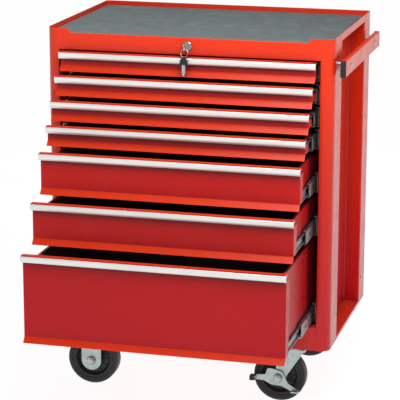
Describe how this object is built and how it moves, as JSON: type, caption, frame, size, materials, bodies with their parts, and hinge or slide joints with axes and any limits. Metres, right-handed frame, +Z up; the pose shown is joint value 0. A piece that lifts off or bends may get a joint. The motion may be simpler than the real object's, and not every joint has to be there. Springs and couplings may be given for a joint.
{
  "type": "rolling tool box",
  "caption": "Seven-drawer steel roller cabinet on four casters, with a push bar, a central lock and a matted top tray.",
  "frame": {"origin": "on the floor, at the middle of the box around the whole cabinet as it stands at rest, drawers pulled out by their rest amounts", "axes": "-Y is the drawer side, +X the side with the push bar, +Z up"},
  "size_m": [0.708, 0.77, 0.884],
  "materials": {
    "red_powder_coat": "gloss",
    "drawer_red": "gloss",
    "bare_trim": "satin",
    "zinc_slides": "satin",
    "zinc_casters": "satin",
    "ribbed_rubber": "matte",
    "black_plastic": "matte",
    "lock_chrome": "polished",
    "screw_steel": "bright",
    "tyre_rubber": "matte",
    "hub_grey": "satin",
    "lock_steel": "plain"
  },
  "bodies": {
    "cabinet": {"side_panel_left": "red_powder_coat", "side_panel_right": "red_powder_coat", "back_panel": "red_powder_coat", "front_top_rail": "red_powder_coat", "base_rail": "red_powder_coat", "top_tray": "red_powder_coat", "top_mat": "ribbed_rubber", "base_pan": "red_powder_coat", "slide_channels": "zinc_slides", "handle_bar": "red_powder_coat", "handle_end_caps": "black_plastic", "handle_spacers": "screw_steel", "handle_screws": "screw_steel", "lock_cylinder": "lock_chrome", "fixed_caster_forks": "zinc_casters", "fixed_caster_axles": "screw_steel", "swivel_plates": "zinc_casters"},
    "drawer_1": {"drawer_1": "drawer_red", "drawer_1_trim": "bare_trim", "drawer_1_runners": "zinc_slides"},
    "mid_slides_1": {"drawer_1_mid_slides": "zinc_slides"},
    "drawer_2": {"drawer_2": "drawer_red", "drawer_2_trim": "bare_trim", "drawer_2_runners": "zinc_slides"},
    "mid_slides_2": {"drawer_2_mid_slides": "zinc_slides"},
    "drawer_3": {"drawer_3": "drawer_red", "drawer_3_trim": "bare_trim", "drawer_3_runners": "zinc_slides"},
    "mid_slides_3": {"drawer_3_mid_slides": "zinc_slides"},
    "drawer_4": {"drawer_4": "drawer_red", "drawer_4_trim": "bare_trim", "drawer_4_runners": "zinc_slides"},
    "mid_slides_4": {"drawer_4_mid_slides": "zinc_slides"},
    "drawer_5": {"drawer_5": "drawer_red", "drawer_5_trim": "bare_trim", "drawer_5_runners": "zinc_slides"},
    "mid_slides_5": {"drawer_5_mid_slides": "zinc_slides"},
    "drawer_6": {"drawer_6": "drawer_red", "drawer_6_trim": "bare_trim", "drawer_6_runners": "zinc_slides"},
    "mid_slides_6": {"drawer_6_mid_slides": "zinc_slides"},
    "drawer_7": {"drawer_7": "drawer_red", "drawer_7_trim": "bare_trim", "drawer_7_runners": "zinc_slides"},
    "mid_slides_7": {"drawer_7_mid_slides": "zinc_slides"},
    "lock": {"lock_plug": "lock_chrome", "key": "screw_steel"},
    "lock_bar": {"lock_bar": "lock_steel"},
    "swivel_front": {"swivel_fork_front": "zinc_casters"},
    "brake_front": {"brake_lever_front": "zinc_casters"},
    "wheel_front_left": {"tyre_front_left": "tyre_rubber", "hub_front_left": "hub_grey"},
    "wheel_front_right": {"tyre_front_right": "tyre_rubber", "hub_front_right": "hub_grey"},
    "swivel_rear": {"swivel_fork_rear": "zinc_casters"},
    "brake_rear": {"brake_lever_rear": "zinc_casters"},
    "wheel_rear_left": {"tyre_rear_left": "tyre_rubber", "hub_rear_left": "hub_grey"},
    "wheel_rear_right": {"tyre_rear_right": "tyre_rubber", "hub_rear_right": "hub_grey"}
  },
  "joints": [
    {"name": "drawer_1_slide", "type": "slide", "parent": "cabinet", "child": "drawer_1", "axis": [0, -1, 0], "range_m": [-0.012, 0.348]},
    {"name": "mid_slides_1_slide", "type": "slide", "parent": "cabinet", "child": "mid_slides_1", "axis": [0, -1, 0], "range_m": [-0.006, 0.174]},
    {"name": "drawer_2_slide", "type": "slide", "parent": "cabinet", "child": "drawer_2", "axis": [0, -1, 0], "range_m": [-0.043, 0.317]},
    {"name": "mid_slides_2_slide", "type": "slide", "parent": "cabinet", "child": "mid_slides_2", "axis": [0, -1, 0], "range_m": [-0.0215, 0.1585]},
    {"name": "drawer_3_slide", "type": "slide", "parent": "cabinet", "child": "drawer_3", "axis": [0, -1, 0], "range_m": [-0.079, 0.281]},
    {"name": "mid_slides_3_slide", "type": "slide", "parent": "cabinet", "child": "mid_slides_3", "axis": [0, -1, 0], "range_m": [-0.0395, 0.1405]},
    {"name": "drawer_4_slide", "type": "slide", "parent": "cabinet", "child": "drawer_4", "axis": [0, -1, 0], "range_m": [-0.112, 0.248]},
    {"name": "mid_slides_4_slide", "type": "slide", "parent": "cabinet", "child": "mid_slides_4", "axis": [0, -1, 0], "range_m": [-0.056, 0.124]},
    {"name": "drawer_5_slide", "type": "slide", "parent": "cabinet", "child": "drawer_5", "axis": [0, -1, 0], "range_m": [-0.1625, 0.1975]},
    {"name": "mid_slides_5_slide", "type": "slide", "parent": "cabinet", "child": "mid_slides_5", "axis": [0, -1, 0], "range_m": [-0.08125, 0.09875]},
    {"name": "drawer_6_slide", "type": "slide", "parent": "cabinet", "child": "drawer_6", "axis": [0, -1, 0], "range_m": [-0.222, 0.138]},
    {"name": "mid_slides_6_slide", "type": "slide", "parent": "cabinet", "child": "mid_slides_6", "axis": [0, -1, 0], "range_m": [-0.111, 0.069]},
    {"name": "drawer_7_slide", "type": "slide", "parent": "cabinet", "child": "drawer_7", "axis": [0, -1, 0], "range_m": [-0.292, 0.068]},
    {"name": "mid_slides_7_slide", "type": "slide", "parent": "cabinet", "child": "mid_slides_7", "axis": [0, -1, 0], "range_m": [-0.146, 0.034]},
    {"name": "lock_bar_lift", "type": "slide", "parent": "cabinet", "child": "lock_bar", "axis": [0, 0, 1], "range_m": [0, 0.0113]},
    {"name": "lock_turn", "type": "hinge", "parent": "cabinet", "child": "lock", "pos_m": [-0.014, -0.08, 0.855], "axis": [0, 1, 0], "range_deg": [0, 90]},
    {"name": "swivel_front_turn", "type": "hinge", "parent": "cabinet", "child": "swivel_front", "pos_m": [0.236, -0.008, 0.14], "axis": [0, 0, 1], "continuous": true},
    {"name": "brake_front_rock", "type": "hinge", "parent": "swivel_front", "child": "brake_front", "pos_m": [0.198, -0.035, 0.0625], "axis": [0, 1, 0], "range_deg": [0, 12]},
    {"name": "wheel_front_left_spin", "type": "hinge", "parent": "cabinet", "child": "wheel_front_left", "pos_m": [-0.269, -0.008, 0.0625], "axis": [0, 1, 0], "continuous": true},
    {"name": "wheel_front_right_spin", "type": "hinge", "parent": "swivel_front", "child": "wheel_front_right", "pos_m": [0.198, -0.008, 0.0625], "axis": [0, 1, 0], "continuous": true},
    {"name": "swivel_rear_turn", "type": "hinge", "parent": "cabinet", "child": "swivel_rear", "pos_m": [0.236, 0.328, 0.14], "axis": [0, 0, 1], "continuous": true},
    {"name": "brake_rear_rock", "type": "hinge", "parent": "swivel_rear", "child": "brake_rear", "pos_m": [0.198, 0.301, 0.0625], "axis": [0, 1, 0], "range_deg": [0, 12]},
    {"name": "wheel_rear_left_spin", "type": "hinge", "parent": "cabinet", "child": "wheel_rear_left", "pos_m": [-0.269, 0.328, 0.0625], "axis": [0, 1, 0], "continuous": true},
    {"name": "wheel_rear_right_spin", "type": "hinge", "parent": "swivel_rear", "child": "wheel_rear_right", "pos_m": [0.198, 0.328, 0.0625], "axis": [0, 1, 0], "continuous": true}
  ],
  "couplings": [
    {"joint": "mid_slides_1_slide", "follows": "drawer_1_slide", "ratio": 0.5},
    {"joint": "mid_slides_2_slide", "follows": "drawer_2_slide", "ratio": 0.5},
    {"joint": "mid_slides_3_slide", "follows": "drawer_3_slide", "ratio": 0.5},
    {"joint": "mid_slides_4_slide", "follows": "drawer_4_slide", "ratio": 0.5},
    {"joint": "mid_slides_5_slide", "follows": "drawer_5_slide", "ratio": 0.5},
    {"joint": "mid_slides_6_slide", "follows": "drawer_6_slide", "ratio": 0.5},
    {"joint": "mid_slides_7_slide", "follows": "drawer_7_slide", "ratio": 0.5},
    {"joint": "lock_turn", "follows": "lock_bar_lift", "rad_per_m": 139.01}
  ]
}
